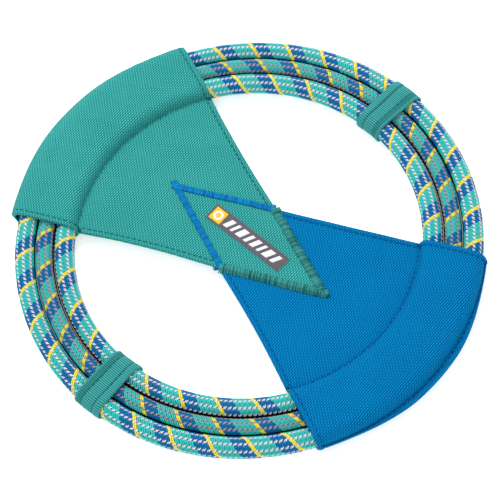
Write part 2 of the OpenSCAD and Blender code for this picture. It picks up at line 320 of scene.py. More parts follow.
class Shape:
    """Collects grids of points into one mesh. Two UV maps go with them: Cloth, in millimetres of thread
    or cloth, for the patterns; and OFBake, from 0 to 1 with no overlaps, for baking them. A third number
    in the cloth coordinates goes to a map of its own, Depth."""

    def __init__(self):
        self.points, self.corners, self.sizes, self.slots = [], [], [], []
        self.cloth, self.bake = [], []
        self.count = 0

    def faces(self, corners, slot, cloth, bake):
        """Adds faces. corners has their points' numbers, a row for each face. The maps are in like rows."""
        self.corners.append(corners.ravel())
        self.sizes.append(np.full(len(corners), corners.shape[1]))
        self.slots.append(np.full(len(corners), slot))
        self.cloth.append(cloth.reshape(-1, cloth.shape[-1]))
        self.bake.append(bake.reshape(-1, bake.shape[-1]))

    def grid(self, points, cloth, bake, slot=0, closed=False, looped=False, capped=False):
        """points is rows x columns x 3. Where closed joins the last column to the first, or looped the last
        row, the maps have one column or row more than the points. capped gives both end rows a face."""
        rows, columns = points.shape[:2]
        wide = columns if closed else columns - 1
        row, column = np.meshgrid(np.arange(rows if looped else rows - 1), np.arange(wide), indexing="ij")
        step = [(0, 0), (0, 1), (1, 1), (1, 0)]
        quads = np.stack([(row + r) % rows * columns + (column + c) % columns for r, c in step], -1)
        maps = [np.stack([given[row + r, column + c] for r, c in step], -2) for given in (cloth, bake)]
        self.points.append(points.reshape(-1, 3))
        self.faces(quads.reshape(-1, 4) + self.count, slot, *maps)
        if capped:
            for r in (0, rows - 1):
                end = np.arange(columns)[None] + r * columns + self.count
                self.faces(end, slot, cloth[r, :columns], bake[r, :columns])
        self.count += rows * columns

    def slab(self, upper, lower, cloth, bake, low_bake, slot=0):
        """Two like grids of points, one over the other, and the edge that joins them."""
        rows, columns = upper.shape[:2]
        number = np.arange(rows * columns).reshape(rows, columns)
        rim = np.concatenate([number[0], number[1:, -1], number[-1, -2::-1], number[-2:0:-1, 0]])
        a, b = self.count + rim, self.count + rim + rows * columns
        self.grid(upper, cloth, bake, slot)
        self.grid(lower, cloth, low_bake, slot)
        quads = np.stack([a, np.roll(a, -1), np.roll(b, -1), b], -1)
        ends = [given.reshape(-1, 2)[rim] for given in (cloth, bake)]
        maps = [np.stack([end, np.roll(end, -1, 0), np.roll(end, -1, 0), end], 1) for end in ends]
        self.faces(quads, slot, *maps)

    def make(self, name, materials, body, slot, nodes):
        """The finished piece, riding on its body and standing for its CAD nodes."""
        mesh = bpy.data.meshes.new(name)
        points, corners, sizes = (np.concatenate(x) for x in (self.points, self.corners, self.sizes))
        mesh.vertices.add(len(points))
        mesh.vertices.foreach_set("co", (points * MM).astype(np.float32).ravel())
        mesh.loops.add(len(corners))
        mesh.loops.foreach_set("vertex_index", corners.astype(np.int32))
        mesh.polygons.add(len(sizes))
        mesh.polygons.foreach_set("loop_start", (np.cumsum(sizes) - sizes).astype(np.int32))
        cloth = np.concatenate(self.cloth)
        maps = {"Cloth": cloth[:, :2], "OFBake": np.concatenate(self.bake)}
        if cloth.shape[1] == 3:
            maps["Depth"] = cloth[:, [2, 2]]
        for map_name, places in maps.items():
            layer = mesh.uv_layers.new(name=map_name)
            layer.uv.foreach_set("vector", places.astype(np.float32).ravel())
        for material in materials:
            mesh.materials.append(material)
        mesh.polygons.foreach_set("material_index", np.concatenate(self.slots).astype(np.int32))
        mesh.update(calc_edges=True)
        work = bmesh.new()
        work.from_mesh(mesh)
        bmesh.ops.recalc_face_normals(work, faces=work.faces)
        work.to_mesh(mesh)
        work.free()
        mesh.polygons.foreach_set("use_smooth", np.full(len(sizes), True))
        piece = in_scene(name, mesh)
        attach(piece, body)
        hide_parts(*nodes)
        return piece


def unit(v):
    return v / np.maximum(np.linalg.norm(v, axis=-1, keepdims=True), 1e-9)


def together(*parts):
    """Stacks coordinates into points."""
    return np.stack(np.broadcast_arrays(*parts), -1)


def circle(angles):
    """Points at these angles in radians on a circle of radius 1."""
    return np.stack([np.cos(angles), np.sin(angles)], -1)


def distances(path):
    """How far along a path each of its points is."""
    return np.append(0, np.cumsum(np.linalg.norm(np.diff(path, axis=0), axis=1)))


def smooth_step(x, a, b):
    t = np.clip((x - a) / (b - a), 0, 1)
    return t * t * (3 - 2 * t)


def ripple(x, y, size):
    """A smooth field from about -1 to 1 that repeats nowhere on the ring. size is its wavelength."""
    k = TURN / size
    return (
        np.sin(k * (0.83 * x + 0.55 * y) + 1.3)
        + np.sin(k * (-0.47 * x + 0.94 * y) * 1.31 + 4.1)
        + np.sin(k * (0.31 * x - 0.88 * y) * 0.73 + 2.6)
    ) / 3


def tube(shape, path, normal, section, cell, slot=0, depth=None):
    """Sweeps section, pairs of (sideways, outwards), along path. cell is its place in the bake map, as two
    opposite corners. depth goes to the Depth map."""
    path, normal, section = (np.asarray(x, float) for x in (path, normal, section))
    if section.ndim == 2:
        section = np.broadcast_to(section, (len(path), *section.shape))
    ahead = unit(np.gradient(path, axis=0))
    side = unit(np.cross(ahead, normal))
    out = np.cross(side, ahead)
    points = path[:, None] + section[..., :1] * side[:, None] + section[..., 1:] * out[:, None]
    length = distances(path)
    turn = np.linspace(0, 1, section.shape[1] + 1)
    cloth = together(length[:, None], turn, *([] if depth is None else [depth[:, None]]))
    u0, v0, u1, v1 = cell
    share = length[:, None] / max(length[-1], 1e-6)
    bake = together(u0 + (u1 - u0) * share, v0 + (v1 - v0) * turn)
    shape.grid(points, cloth, bake, slot, closed=True, capped=True)


def cells(count, columns=1):
    """Places in the bake map for count pieces of thread, in rows of this many."""
    rows = math.ceil(count / columns)
    for i in range(count):
        u, v = i % columns, i // columns
        yield (u + 0.03) / columns, (v + 0.06) / rows, (u + 0.97) / columns, (v + 0.94) / rows


def oval(width, thick, angles):
    """The outline of a yarn, width across and thick high, at these angles in degrees."""
    return circle(np.radians(angles)) * (width / 2, thick / 2)


# ---- ropes ----

STRANDS = 8
SPLICE_HALF = 13.0
SPLICE_SINK = 0.42
COLOURS = list(yarns)
UP = np.array([0.0, 0.0, 1.0])
# Where a yarn's outline has its corners, and how many rings of them a yarn has in one turn round the rope
YARN_CORNERS = [0, 45, 90, 135, 180, 270]
STEPS_SEEN, STEPS_HIDDEN = 62, 32
# A pale yarn is thinner, and its two lie closer together than the two of a coloured strand. The columns are
# width and gap as shares of the strands' spacing, and thickness and sink in millimetres.
YARN_SIZES = {"pale": (0.31, 0.31, 0.7, 0.03), "coloured": (0.46, 0.45, 0.8, 0.0)}
DIVE = 0.62
DIVE_SHARPNESS = 1.9
# yellow_at: ring angles at which the yellow strand is on top, each with the turns it has made round the
# rope by then. pale_at: turn round the rope of one column of pale flecks. pale_below: how much of its way
# a pale strand stays under, from -1 to 1. touches: whether a rope lies against this one outside and inside.
thick_rope = {"radius": ROPE_R, "pale_below": 0.55, "pale": ("white", "pale_pink"), "slot": "rope_braid"}
ropes = {
    "outer": {
        **thick_rope,
        "centre": OUTER_C,
        "yellow_at": [(36, 0), (91, 6), (139, 11), (214, 19), (263, 24), (321.5, 30), (396, 38)],
        "pale_at": 87,
        "touches": (0, 1),
        "splice_at": 13,
        "colours": ["turquoise"] * 4 + ["blue"] * 3 + ["yellow"],
    },
    "middle": {
        "centre": MIDDLE_C,
        "radius": MIDDLE_R,
        "yellow_at": [(44.5, 0), (95.5, 5), (137, 9), (217.5, 17), (260.5, 21), (324, 27), (404.5, 35)],
        "pale_at": 102,
        "pale_below": 0.3,
        "touches": (1, 1),
        "splice_at": 180,
        "colours": ["yellow"] + ["blue"] * 3 + ["turquoise"] * 4,
        "pale": ("grey", "pink_grey"),
        "slot": "middle_rope_braid",
    },
    "inner": {
        **thick_rope,
        "centre": INNER_C,
        "yellow_at": [(44, 0), (99, 5), (134, 8), (220.5, 16), (256.5, 19), (314, 24), (404, 32)],
        "pale_at": 70,
        "touches": (1, 0),
        "splice_at": -13,
        "colours": ["yellow"] + ["blue"] * 3 + ["turquoise"] * 4,
    },
}


def rope_frame(rope, start, end, per_lead):
    """Ring angles along an arc of a rope, the rope's centre and outward direction there, and its radius,
    which is drawn in under the splice."""
    count = int((end - start) / 360 * rope["yellow_at"][-1][1] * per_lead)
    ring = np.radians(np.linspace(start, end, count))
    out = together(np.cos(ring), np.sin(ring), 0)
    away = np.abs((np.degrees(ring) - rope["splice_at"] + 180) % 360 - 180) * math.pi / 180 * rope["centre"]
    radius = rope["radius"] - SPLICE_SINK * smooth_step(-away, -SPLICE_HALF - 1.5, -SPLICE_HALF + 0.5)
    return ring, rope["centre"] * out + MID * UP, out, radius


def turns_made(rope, ring):
    """Turns that the strands have made round the rope by each ring angle."""
    angle, turns = np.array(rope["yellow_at"]).T
    angle = np.concatenate([angle[:-1] - 360, angle[:-1]])
    turns = np.concatenate([turns[:-1] - turns[-1], turns[:-1]])
    return np.interp(np.degrees(ring), angle, turns)


def contact_shadow_share(rope, turn):
    """1 where the rope presses on its neighbour, 0 elsewhere: the share of painted contact shadow that its
    yarns take there.
    """
    across = np.cos(turn)
    return np.where(across > 0, *rope["touches"]) * smooth_step(np.abs(across), 0.925, 0.95)


def yarn_set(shape, rope, start, end, per_lead, pale):
    """One of a rope's two sets of yarns, from ring angle start to end in degrees. A strand is two yarns
    side by side. Each coloured one goes over a pale one and under the next, in columns along the rope."""
    ring, centre, er, radius = rope_frame(rope, start, end, per_lead)
    way = 1 if pale else -1
    pairs = [rope["pale"]] * STRANDS if pale else [(colour, colour) for colour in rope["colours"]]
    width, apart, thick, sink = YARN_SIZES["pale" if pale else "coloured"]
    pale_at = math.radians(rope["pale_at"])
    first = math.pi / 2 - TURN * rope["colours"].index("yellow") / STRANDS
    if pale:
        first = 2 * pale_at - first
    places = cells(2 * STRANDS)
    section = oval(width * rope["spacing"], thick, YARN_CORNERS)
    for i, pair in enumerate(pairs):
        for side, colour in zip((-0.5, 0.5), pair):
            turn = first + TURN * ((i + side * apart) / STRANDS + way * turns_made(rope, ring))
            wave = np.tanh(DIVE_SHARPNESS * (rope["pale_below"] - np.cos(STRANDS * (turn - pale_at))))
            depth = (1 + way * wave) / 2
            r = radius - thick / 2 - sink - DIVE * depth
            out = np.cos(turn)[:, None] * er + np.sin(turn)[:, None] * UP
            path = centre + r[:, None] * out
            # Over 1 where two ropes press together, for their painted contact shadow
            sunk = depth + 2 * contact_shadow_share(rope, turn)
            tube(shape, path, out, section, next(places), COLOURS.index(colour), sunk)


def braid_shadow(shape, rope, start, end):
    """A dark tube inside the braid, the painted shade seen between the yarns. It bulges to fill the line
    between two ropes that press together with painted shadow."""
    _, centre, er, radius = rope_frame(rope, start, end, 8)
    turns = np.radians(np.arange(0, 360, 10))
    # The bulge carries the painted shadow into the line between two pressing ropes
    bulge = np.where(np.cos(turns) > 0, *rope["touches"]) * np.abs(np.cos(turns)) ** 8
    section = (radius[:, None] - 1.15 + 1.1 * bulge)[..., None] * circle(turns)
    tube(shape, centre, np.broadcast_to(UP, er.shape), section, (0, 0, 1, 1))


# The ropes are seen between these ring angles and the opposite ones, and lie inside the wings elsewhere
OPEN_FROM, OPEN_TO = 31.0, 149.0
OPEN_SIDES = {"left": (OPEN_FROM, OPEN_TO), "right": (OPEN_FROM - 180, OPEN_TO - 180)}
for name, rope in ropes.items():
    lead = TURN * rope["centre"] / rope["yellow_at"][-1][1]
    round_rope = TURN * (rope["radius"] - 0.4)
    rope["spacing"] = round_rope / STRANDS * lead / math.hypot(lead, round_rope)
    node = f"{name}_rope_sheath"
    for side, (start, end) in OPEN_SIDES.items():
        for pale, kind in ((False, "coloured"), (True, "pale")):
            shape = Shape()
            yarn_set(shape, rope, start, end, STEPS_SEEN, pale)
            piece_name = f"{name}_rope_{side}_{kind}_yarns"
            shape.make(piece_name, list(yarns.values()), "ring", rope["slot"], [node])
    hidden = Shape()
    inside = Shape()
    braid_shadow(inside, rope, 0, 359.9)
    inside.make(f"{name}_rope_bedding", [yarns["shadow"]], "ring", rope["slot"], [node])
    for start, end in ((-OPEN_FROM, OPEN_FROM), (OPEN_TO, 360 - OPEN_TO)):
        for pale in (False, True):
            yarn_set(hidden, rope, start, end, STEPS_HIDDEN, pale)
    hidden.make(f"{name}_rope_hidden_yarns", list(yarns.values()), "ring", rope["slot"], [node])


# ---- wings, worked out along +X: one panel's outer face ----

SEAM_R = INNER_C - SKIN_R
WEB_LENGTH = APEX + SEAM_R
LIP_START = OUTER_C + SKIN_R
HIGH, LOW = 2 * FABRIC, 0.0
# drawn_in is how far the cloth's tension pulls each straight edge in, at hand 1 and -1. narrowed is the
# share of the lip's width lost at its ends. loose cloth falls from the outer rope straight to the lip's
# edge, and its seams hardly show. over is the hand whose satin arm runs on past the point.
wings = {
    "green": {
        "turned": True,
        "tops": (HIGH, LOW),
        "lip_r": reach("green_top_panel"),
        "drawn_in": {1: 1.7, -1: 1.2},
        "narrowed": 0.3,
        "loose": True,
        "over": 1,
        "cloth": green_cloth,
        # The edge thread is darkened as painted shade of its stitch valleys
        "threads": {"edge": "stitch_shade_green", "channel": "green_seam", "rim": "green_seam"},
        "satin": ("green", "shaded_green"),
    },
    "blue": {
        "turned": False,
        "tops": (LOW, HIGH),
        "lip_r": reach("blue_top_panel"),
        "drawn_in": {1: 0.2, -1: 1.2},
        "narrowed": 0.72,
        "loose": False,
        "over": -1,
        "cloth": blue_cloth,
        # The edge and rim thread is darkened as painted shade of its stitch valleys
        "threads": {"edge": "stitch_shade_blue", "channel": "blue_seam", "rim": "stitch_shade_blue"},
        "satin": ("blue", "shaded_blue"),
    },
}


def section(wing, under):
    """The channel's outline from the arc seam out to the rim, as columns of distance along it, radius,
    height over the middle plane and the outward normal. The rim is rounded, like a thin piping."""
    top = wing["tops"][under]
    rows = []

    def arc(centre, radius, a, b, count):
        for angle in np.linspace(a, b, count):
            along = (math.cos(angle), math.sin(angle))
            rows.append((centre + radius * along[0], radius * along[1], *along))

    start = math.asin(top / SKIN_R)
    lip = math.asin(FABRIC / SKIN_R)
    bead = math.pi - math.asin(FABRIC / PIPING)
    arc(INNER_C, SKIN_R, math.pi - start, math.pi / 2, 40)
    if wing["loose"]:
        bead = math.radians(58)
        lip_end = wing["lip_r"] - PIPING * (1 - math.cos(bead))
        share = np.linspace(0, 1, 43)[:-1]
        foot = PIPING * math.sin(bead)
        r = OUTER_C + share * (lip_end - OUTER_C)
        z = foot + (SKIN_R - foot) * (1 - share**2.4) ** 0.9
        away = unit(np.stack([-np.gradient(z), np.gradient(r)], -1))
        rows += [tuple(row) for row in np.column_stack([r, z, away])]
    else:
        lip_end = wing["lip_r"] - PIPING * (1 - math.cos(bead)) - 0.1
        arc(OUTER_C, SKIN_R, math.pi / 2, lip, 40)
        rows += [(LIP_START + 0.15, FABRIC, 0.3, 0.95), (lip_end, FABRIC, 0.0, 1.0)]
    arc(wing["lip_r"] - PIPING, PIPING, bead, 0.0, 24)
    table = np.array(rows)
    return np.column_stack([distances(table[:, :2]), table])


# Rows of section's table: over the inner and the outer rope, the channel's end, the lip, and the piping
INNER_TOP, OUTER_TOP, CHANNEL_END, LIP_FLAT, BEAD_START, BEAD_END = 39, 40, 79, 80, 81, 105


def radius_at(wing, under, q):
    """The radius, from the ring's axis, of the row q."""
    table = section(wing, under)
    return np.interp(np.maximum(q - WEB_LENGTH, 0), table[:, 0], table[:, 1])


def edge_angle(r, d=0.0):
    """Angle from the wing's middle line to its straight edge on the circle r, less d millimetres."""
    across = np.sqrt(1 - (EDGE_D / r) ** 2)
    return WING + np.arcsin(EDGE_D / r) - d / (r * across)


def warp(x, y):
    """The gentle waviness of both webs. It is the same at opposite points, so turning a wing doesn't change
    it and the layers never meet."""
    k = TURN / 70
    wave = np.cos(k * (0.8 * x + 0.7 * y)) - np.sin(k * (x - 0.4 * y)) * np.sin(k * (0.3 * x + 1.6 * y))
    inside = 1 - smooth_step(np.hypot(x, y), 60, SEAM_R - 3)
    return inside * 0.3 * wave


def face(wing, under, q, d, hand, raised=True):
    """Points and normals of a panel's outer face, still along +X and over the middle plane. q runs from
    the wing's point out along its middle, d is the distance from the straight edge on the side hand.
    raised adds hems, puckers and crown."""
    q, d, hand = np.broadcast_arrays(np.asarray(q, float), d, hand)
    top = wing["tops"][under]
    table = section(wing, under)
    v = np.clip(q / WEB_LENGTH, 0.01, 1)
    t = np.maximum(q - WEB_LENGTH, 0)
    r, z, nr, nz = (np.interp(t, table[:, 0], table[:, i]) for i in (1, 2, 3, 4))
    z = np.where(t > 0, z, top)
    nr, nz = np.where(t > 0, nr, 0.0), np.where(t > 0, nz, 1.0)
    pull = np.where(hand > 0, wing["drawn_in"][1], wing["drawn_in"][-1])
    pull = pull * np.sin(math.pi * np.clip((q - 54) / 92, 0, 1)) * np.clip(1 - d / 22, 0, 1)
    angle = hand * edge_angle(r, (d + pull) / v)
    at_end = smooth_step(np.abs(angle), math.radians(6), math.radians(28))
    kept = (1 - wing["narrowed"] * at_end) * (1 - 0.5 * np.clip(1 - d / 3.5, 0, 1) ** 2)
    r = np.where(r > LIP_START - 0.1, LIP_START + (r - LIP_START) * kept, r)
    x, y = -APEX + v * (r * np.cos(angle) + APEX), v * r * np.sin(angle)
    normal = np.stack([nr * np.cos(angle), nr * np.sin(angle), nz], -1)
    level = warp(x, y) * (t == 0) * (-1 if under else 1)
    point = np.stack([x, y, z + level], -1)
    if not raised:
        return point, normal
    along = np.hypot(x + APEX, y)
    sewn = np.cos(TURN * along / STITCH_PITCH)
    open_edge = smooth_step(x, 1.5, 5.0)
    turn_in = np.sqrt(1 - (1 - np.clip(d / 0.6, 0, 1)) ** 2)
    hem = RIM * (1 - smooth_step(d, 1.7, EDGE_ROW)) * (1 + 0.15 * sewn)
    valley = -(0.16 + 0.08 * sewn) * np.exp(-(((d - EDGE_ROW) / 0.45) ** 2))
    rise = (turn_in - 1) * (FABRIC - 0.05) + open_edge * (hem * turn_in + valley)
    round_turns = TURN * r * angle
    near_seam = np.exp(-t / 2.0) * (t > 0.2)
    puckers = 0.08 * np.sin(round_turns / 1.3) + 0.13 * np.sin(round_turns / STITCH_PITCH)
    pinch = 0.2 + 0.08 * np.cos(round_turns / STITCH_PITCH)
    puckers = near_seam * puckers - pinch * np.exp(-(((q - WEB_LENGTH + SEAM_ROW) / 0.6) ** 2))
    rise += puckers * (0.3 if wing["loose"] else 1.0)
    middle = table[INNER_TOP, 0] + (OUTER_C - INNER_C) / 2
    crown = 0.35 + 0.65 * smooth_step(d, 2, 22)
    crown = crown * (0.2 if under else 1.0)
    rise += np.exp(-(((t - middle) / 11) ** 2)) * (t > 0) * crown * (1.0 + 0.35 * ripple(x, y, 31))
    rise += (t > 0) * (t < table[CHANNEL_END, 0]) * 0.12 * ripple(x, y, 9)
    return point + rise[..., None] * normal, normal


def cloth_map(wing, under, q, d, hand):
    """Where a point of the face lies on the flat cloth."""
    v = np.clip(q / WEB_LENGTH, 0.01, 1)
    angle = hand * edge_angle(radius_at(wing, under, q), d / v)
    flat_r = SEAM_R + np.maximum(q - WEB_LENGTH, 0)
    return np.stack([-APEX + v * (flat_r * np.cos(angle) + APEX), v * flat_r * np.sin(angle)], -1)


HEM_STEPS = [0, 0.1, 0.25, 0.45, 0.7, 1.0, 1.4, 1.8, 2.1, 2.35, 2.6, 2.8, 3.0, 3.3, 3.7, 4.2]


def half_width(wing, under, q):
    """From the wing's middle line to its straight edge."""
    v = np.clip(q / WEB_LENGTH, 0.01, 1)
    r = radius_at(wing, under, q)
    return v * edge_angle(r) * r * np.sqrt(1 - (EDGE_D / r) ** 2)


def columns(wing, under, q):
    """d and hand of every column of a row: close together in the hems, even between them."""
    half = half_width(wing, under, q)
    hems = np.array(HEM_STEPS)[None] * np.minimum(1, half / 9)[:, None]
    share = np.linspace(0, 1, 66)[1:]
    inner = hems[:, -1:] + share[None] * (half[:, None] - hems[:, -1:])
    one = np.concatenate([hems, inner], 1)
    d = np.concatenate([one, one[:, -2::-1]], 1)
    hand = np.concatenate([np.ones(one.shape[1]), -np.ones(one.shape[1] - 1)])
    return d, np.broadcast_to(hand, d.shape)


def rows_of(wing, under):
    """q of every row: along the web, round the channel, across the lip and round the piping."""
    table = section(wing, under)
    marks = [0.05] + [table[i, 0] for i in (INNER_TOP, OUTER_TOP, CHANNEL_END, BEAD_START)]
    counts = (18, 36, 18, 6)
    spans = [np.linspace(a, b, n, endpoint=False) for a, b, n in zip(marks, marks[1:], counts)]
    bead = np.linspace(table[BEAD_START, 0], table[BEAD_END, 0], 9)
    channel = np.concatenate(spans + [bead])
    web = np.linspace(3.0, WEB_LENGTH - 3, 140)
    near_seam = WEB_LENGTH - np.array([2.4, 1.9, 1.5, 1.2, 0.9, 0.6, 0.3, 0])
    return np.concatenate([web, near_seam, WEB_LENGTH + channel])


def placed(wing, under, points, direction=False):
    """Moves points, or directions, from the wing's own place to the row's frame."""
    points = points.copy()
    if under:
        points[..., 2] *= -1
    if wing["turned"]:
        points[..., :2] *= -1
    if not direction:
        points[..., 2] += MID
    return points


def panel(colour, under):
    """One panel: its outer face, its inner face a layer below, and the turned edge between them."""
    wing = wings[colour]
    table = section(wing, under)
    q = rows_of(wing, under)
    d, hand = columns(wing, under, q)
    q = np.broadcast_to(q[:, None], d.shape)
    outer, _ = face(wing, under, q, d, hand)
    if under:
        outer[..., 2] = np.minimum(outer[..., 2], MID - FLOOR_GAP)
    plain, normal = face(wing, under, q, d, hand, raised=False)
    inner = plain - FABRIC * normal
    lip = q > WEB_LENGTH + table[LIP_FLAT, 0] - 0.01
    inner[..., 2] = np.where(lip, 0.0, inner[..., 2])
    far = np.hypot(plain[..., 0], plain[..., 1])
    scale = np.where(lip, (far - 0.05) / np.hypot(inner[..., 0], inner[..., 1]), 1)
    inner[..., :2] *= scale[..., None]
    cloth = cloth_map(wing, under, q, d, hand)
    wide = cloth[..., 0].max() + APEX
    bake = np.stack([0.01 + 0.98 * (cloth[..., 0] + APEX) / wide, 0.39 + 0.98 * cloth[..., 1] / wide], -1)
    share = (bake[..., 1] - bake[..., 1].min()) / np.ptp(bake[..., 1])
    low_bake = np.stack([bake[..., 0], 0.8 + 0.19 * share], -1)
    shape = Shape()
    shape.slab(placed(wing, under, outer), placed(wing, under, inner), cloth, bake, low_bake)
    side = "bottom" if under else "top"
    node = f"{colour}_{side}_panel"
    piece = shape.make(f"{colour}_wing_{side}", [wing["cloth"]], "ring", f"{colour}_fabric", [node])


for colour in wings:
    for under in (False, True):
        panel(colour, under)

# ---- straight stitches ----

THREAD_R = 0.25
STITCH_LENGTH = 1.8
# How far a stitch's middle stands out of the cloth
PROUD, DRAWN_IN, BAND_PROUD = 0.16, -0.14, 0.06
ROUND = circle(np.radians(np.arange(0, 360, 60)))


def stitches(shape, line, normals, places, proud):
    """A row of stitches along a line on the cloth. Each rises out of it and goes back in."""
    along = distances(line)
    for first in np.arange(0.4, along[-1] - STITCH_LENGTH, STITCH_PITCH):
        s = first + np.linspace(0, 1, 9) * STITCH_LENGTH
        path = np.stack([np.interp(s, along, line[:, i]) for i in range(3)], -1)
        up = unit(np.stack([np.interp(s, along, normals[:, i]) for i in range(3)], -1))
        rise = proud - (proud + 0.32) * np.abs(np.linspace(-1, 1, 9)) ** 4
        tube(shape, path + rise[:, None] * up, up, THREAD_R * ROUND, next(places))


def on_arc(wing, under, q, angle):
    """d and hand of the points at these angles from the wing's middle, on the row q."""
    r = radius_at(wing, under, q)
    d = (edge_angle(r) - np.abs(angle)) * r * math.sqrt(1 - (EDGE_D / r) ** 2)
    return d, np.where(angle < 0, -1, 1)


def sewn_rows(colour):
    """All the straight stitching of a wing: beside its hems, along the arc seam and along the lip."""
    wing = wings[colour]
    kinds = {kind: Shape() for kind in wing["threads"]}
    places = {kind: cells(480, 8) for kind in kinds}
    for under in (False, True):
        table = section(wing, under)
        lines = {kind: [] for kind in kinds}
        q = np.linspace(APEX + 4, WEB_LENGTH + table[CHANNEL_END, 0], 700)
        for hand in (-1, 1):
            lines["edge"].append((q, np.full(q.shape, EDGE_ROW), np.full(q.shape, hand)))
            for q_tack in WEB_LENGTH - SEAM_ROW + np.arange(-0.9, 1.0, 0.45):
                lines["edge"].append((np.full(60, q_tack), np.linspace(0.1, 3.3, 60), np.full(60, hand)))
        lip_q = WEB_LENGTH + np.interp(wing["lip_r"] - 2.8, table[:, 1], table[:, 0])
        for kind, q_row in (("channel", WEB_LENGTH - SEAM_ROW), ("rim", lip_q)):
            limit, _ = on_arc(wing, under, q_row, np.array(0.0))
            r = limit / edge_angle(SEAM_R if kind == "channel" else LIP_START)
            angle = np.linspace(-1, 1, 500) * (float(limit) - 3.4) / float(r)
            d, hand = on_arc(wing, under, q_row, angle)
            lines[kind].append((np.full(angle.shape, q_row), d, hand))
        for kind, rows in lines.items():
            for q_row, d, hand in rows:
                point, normal = face(wing, under, q_row, d, hand)
                proud = DRAWN_IN if wing["loose"] and kind != "edge" else PROUD
                ends = placed(wing, under, point), placed(wing, under, normal, True)
                stitches(kinds[kind], *ends, places[kind], proud)
    for kind, shape in kinds.items():
        thread, node = threads[wing["threads"][kind]], f"{colour}_{kind}_stitches"
        shape.make(f"{colour}_{kind}_sewing", [thread], "ring", f"{colour}_thread", [node])


for colour in wings:
    sewn_rows(colour)

# ---- satin stitch round the wings' points ----

ARM = APEX / math.cos(WING)
random = np.random.default_rng(7)


def satin(colour):
    """The V of satin stitch round a wing's point, on both faces. Where the wing's own layer is on top the
    thread wraps down over its edge; elsewhere it lies in two ridges on the other wing."""
    wing = wings[colour]
    shape = Shape()
    places = cells(1600, 6)
    for under in (False, True):
        wraps = wing["tops"][under] == HIGH
        for hand in (1, -1):
            satin_arm(shape, places, wing, under, wraps, hand)
    materials = [threads[name] for name in wing["satin"]]
    shape.make(f"{colour}_satin", materials, "ring", f"{colour}_thread", [f"{colour}_point_satin"])


def satin_arm(shape, places, wing, under, wraps, hand):
    """One arm: a pad, and many fine threads across it."""
    ahead = np.array([math.cos(WING), hand * math.sin(WING)])
    inward = np.array([math.sin(WING), -hand * math.cos(WING)])
    runs_on = hand == wing["over"]
    first = (-0.9 if wraps else 0.3) if runs_on else (2.2 if wraps else 1.4)
    lift = 0.0 if runs_on else 0.12
    sign = -1 if under else 1

    def shown(s, w, height):
        """A point of the arm: s along it, w inwards from the wing's edge, height over the cloth."""
        xy = np.array([-APEX, 0.0]) + s[..., None] * ahead + w[..., None] * inward
        base = np.where(w < 0, LOW + 0.1, HIGH) if wraps else np.full(w.shape, HIGH)
        z = base + sign * warp(xy[..., 0], xy[..., 1]) + height
        return placed(wing, under, np.concatenate([xy, z[..., None]], -1))

    def profile(share, w):
        """Height of the sewing over the cloth, by its share of the way across."""
        if wraps:
            return 0.62 * np.sin(math.pi * share) ** 0.6 * np.where(w < 0, 1.5, 1.0)
        return 0.16 + 0.4 * np.abs(np.sin(TURN * share)) ** 0.7

    def width_at(s):
        """Outer and inner end of the sewing, which is rounded off at the point and swells at the waist."""
        knot = smooth_step(s, ARM - 4.5, ARM - 1.5)
        tip = np.sqrt(np.clip(1 - ((2.0 - s) / 2.8) ** 2, 0.02, 1)) if wraps else 1.0
        tip = np.where(s < 2.0, tip, 1.0)
        if wraps:
            return 1.1 - (2.2 + 0.8 * knot) * tip, 1.1 + (1.9 + 0.4 * knot) * tip
        return np.full(s.shape, 0.0), np.full(s.shape, 3.1)

    s = np.arange(first + 0.3, ARM - 0.3, 0.8)
    low, high = width_at(s)
    share = np.linspace(0.04, 0.96, 11)
    w = low[:, None] + share[None] * (high - low)[:, None]
    upper = shown(np.broadcast_to(s[:, None], w.shape), w, lift + profile(share[None], w) - 0.12)
    lower = shown(np.stack([s, s], -1), w[:, [-1, 0]], np.full((len(s), 2), 0.02))
    turn = np.linspace(0, 1, 14)
    u0, v0, u1, v1 = next(places)
    u = u0 + (u1 - u0) * (s[:, None] / ARM * 0.9 + 0.05)
    bake = together(u, v0 + (v1 - v0) * turn)
    cloth = together(s[:, None], turn)
    shape.grid(np.concatenate([upper, lower], 1), cloth, bake, closed=True, capped=True)
    for start in np.arange(first, ARM - 0.25, 0.3):
        fray = 0.32 if wraps else 0.06
        low, high = width_at(np.array([start]))
        low = low[0] - abs(random.normal(0, fray))
        high = high[0] + random.normal(0, 0.08)
        lean = random.normal(0, 0.16) + (0.25 if wraps else 0.1)
        share = np.linspace(0, 1, 10)
        w = low + share * (high - low)
        across = start + lean * (share - 0.5) + 0.05 * random.normal()
        height = lift + profile(share, w) * random.uniform(0.85, 1.2) - 0.1 * (share > 0.97)
        path = shown(across, w, height)
        up = np.broadcast_to([0, 0, sign], path.shape)
        tube(shape, path, up, 0.17 * ROUND, next(places), int(random.uniform() < 0.35))


for colour in wings:
    satin(colour)

# ---- label ----

PLATE_STEP = 0.8


def plate(shape, corners, base, height, slot, cell):
    """A flat patch of the label's plane with these four corners, from base up to base + height."""
    corners = np.array(corners, float)
    long = max(int(np.linalg.norm(corners[1] - corners[0]) / PLATE_STEP), 1) + 1
    wide = max(int(np.linalg.norm(corners[3] - corners[0]) / PLATE_STEP), 1) + 1
    a, b = np.meshgrid(np.linspace(0, 1, long), np.linspace(0, 1, wide), indexing="ij")
    shares = np.stack([(1 - a) * (1 - b), a * (1 - b), a * b, (1 - a) * b], -1)
    solid(shape, shares @ corners, base, height, slot, cell)


